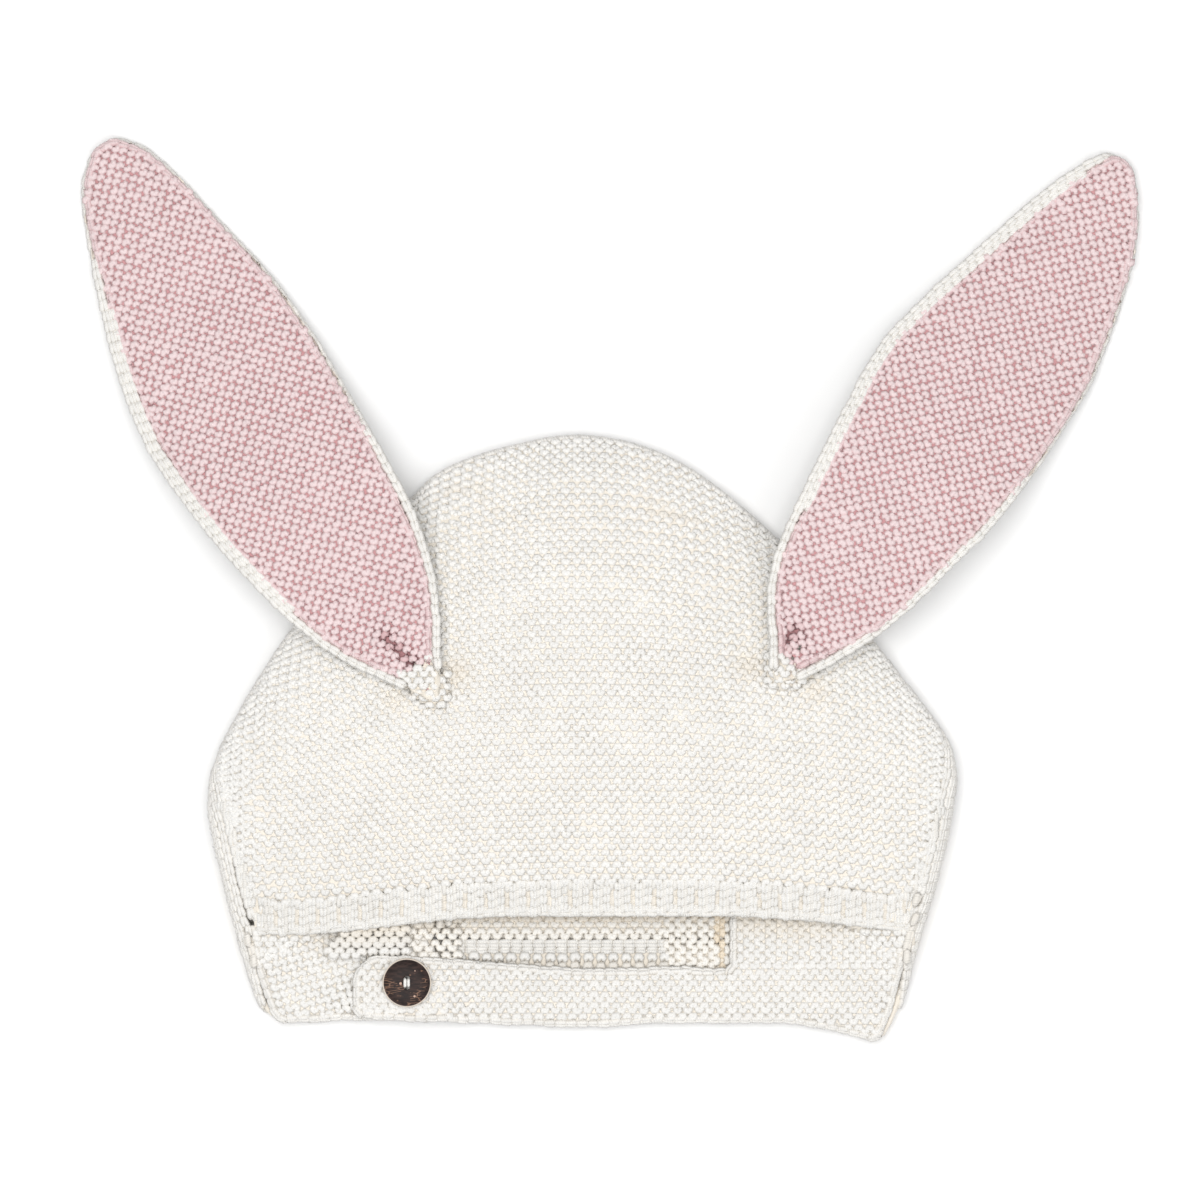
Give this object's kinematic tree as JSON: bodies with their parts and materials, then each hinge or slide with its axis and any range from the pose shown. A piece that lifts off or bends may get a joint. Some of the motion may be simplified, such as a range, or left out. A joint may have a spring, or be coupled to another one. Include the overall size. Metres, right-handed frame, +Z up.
{
  "type": "baby hat with ears",
  "caption": "Baby's knitted hat lying flat: domed cream front with a ribbed brim, back panel, side flaps, buttoned chin strap, and long rabbit ears with pink faces.",
  "frame": {"origin": "on the surface that the hat lies on, under the middle of its body", "axes": "+X to the right flap, where the chin strap starts, +Y towards the crown and the ear tips, +Z up, out of the front panel"},
  "size_m": [0.2835, 0.242, 0.0345],
  "materials": {
    "cream_knit": "matte cotton garter stitch",
    "rib_knit": "matte cotton rib",
    "pink_knit": "matte cotton garter stitch, dusty pink",
    "coconut_shell": "polished dark coconut shell",
    "sewing_thread": "matte cotton thread"
  },
  "bodies": {
    "root": {"front_panel": "cream_knit", "brim_band": "rib_knit", "back_panel": "cream_knit", "nape_band": "rib_knit", "left_flap": "cream_knit", "right_flap_strap": "cream_knit", "ear_left_back": "cream_knit", "ear_left_face": "pink_knit", "ear_right_back": "cream_knit", "ear_right_face": "pink_knit", "button": "coconut_shell", "button_thread": "sewing_thread"}
  },
  "joints": []
}
